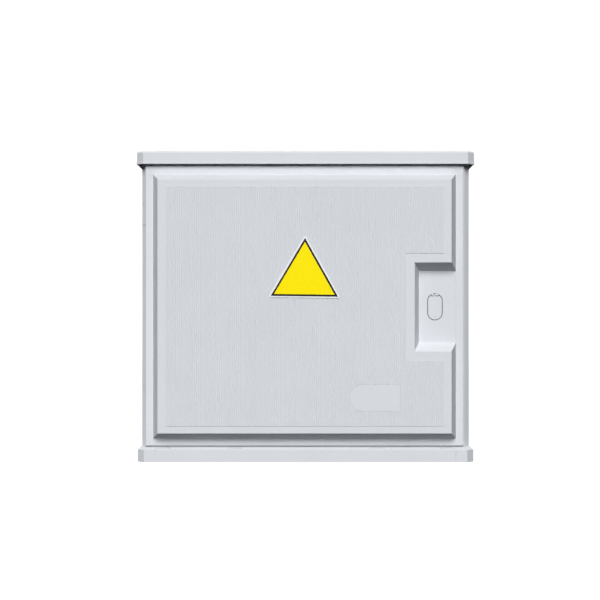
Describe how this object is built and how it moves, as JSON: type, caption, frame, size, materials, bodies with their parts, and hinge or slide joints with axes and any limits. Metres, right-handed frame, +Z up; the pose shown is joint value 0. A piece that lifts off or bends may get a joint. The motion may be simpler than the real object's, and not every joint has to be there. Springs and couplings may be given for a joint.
{
  "type": "roadside utility cabinet",
  "caption": "Light grey moulded outdoor utility cabinet with a ridged overlay door, recessed lock under a flap, projecting lid and plinth, and a fitted interior.",
  "frame": {"origin": "centre of the footprint, on the ground under the plinth", "axes": "+Z up, +X along the width towards the lock side, +Y from the door towards the back wall"},
  "size_m": [0.66, 0.29, 0.61],
  "materials": {
    "shell_plastic": "moulded, fine satin texture",
    "zinc_steel": "zinc plated",
    "stainless": "plain",
    "die_cast": "matt black paint",
    "nickel": "nickel plated",
    "brass": "plain",
    "black_rubber": "matt",
    "black_nylon": "moulded",
    "sign_white": "smooth",
    "sign_black": "smooth",
    "sign_yellow": "smooth"
  },
  "bodies": {
    "cabinet": {"base_frame": "shell_plastic", "left_wall": "shell_plastic", "right_wall": "shell_plastic", "back_wall": "shell_plastic", "front_top_rail": "shell_plastic", "roof": "shell_plastic", "base_screws": "stainless", "roof_screws": "stainless", "back_screws": "stainless", "back_nuts": "stainless", "gland_plate": "zinc_steel", "cable_grommets": "black_rubber", "gland_screws": "stainless", "mounting_plate": "zinc_steel", "plate_standoffs": "black_nylon", "plate_screws": "stainless", "din_rail_lower": "zinc_steel", "din_rail_upper": "zinc_steel", "cable_rail": "zinc_steel", "rail_screws": "stainless", "earth_bar": "brass", "earth_screws": "stainless", "hinge_bracket_upper": "zinc_steel", "hinge_bracket_lower": "zinc_steel", "hinge_pin_upper": "stainless", "hinge_pin_lower": "stainless", "hinge_screws": "stainless", "keeper_upper": "zinc_steel", "keeper_lower": "zinc_steel", "keeper_side": "zinc_steel", "keeper_screws": "stainless", "side_keeper_screws": "stainless"},
    "door": {"door": "shell_plastic", "door_gasket": "black_rubber", "lock_housing": "die_cast", "lock_cover": "die_cast", "lock_screws": "stainless", "rod_guides": "black_nylon", "guide_screws": "stainless", "flap_pin": "stainless", "sign_backing": "sign_white", "sign_border": "sign_black", "sign_field": "sign_yellow"},
    "lock barrel": {"lock_barrel": "nickel", "lock_cam": "zinc_steel", "cam_screw": "stainless"},
    "upper rod": {"rod_upper": "zinc_steel"},
    "lower rod": {"rod_lower": "zinc_steel"},
    "lock flap": {"lock_flap": "shell_plastic"}
  },
  "joints": [
    {"name": "door_hinge", "type": "hinge", "parent": "cabinet", "child": "door", "pos_m": [-0.3105, -0.0985, 0.305], "axis": [0, 0, -1], "range_deg": [0, 115]},
    {"name": "lock_turn", "type": "hinge", "parent": "door", "child": "lock barrel", "pos_m": [0.2525, -0.099, 0.30275], "axis": [0, 1, 0], "range_deg": [0, 90]},
    {"name": "upper_rod_slide", "type": "slide", "parent": "door", "child": "upper rod", "axis": [0, 0, 1], "range_m": [0, 0.0165]},
    {"name": "lower_rod_slide", "type": "slide", "parent": "door", "child": "lower rod", "axis": [0, 0, -1], "range_m": [0, 0.0165]},
    {"name": "flap_hinge", "type": "hinge", "parent": "door", "child": "lock flap", "pos_m": [0.2525, -0.1169, 0.32575], "axis": [-1, 0, 0], "range_deg": [0, 120]}
  ],
  "couplings": [
    {"joint": "upper_rod_slide", "follows": "lock_turn", "m_per_rad": 0.0105},
    {"joint": "lower_rod_slide", "follows": "lock_turn", "m_per_rad": 0.0105}
  ]
}
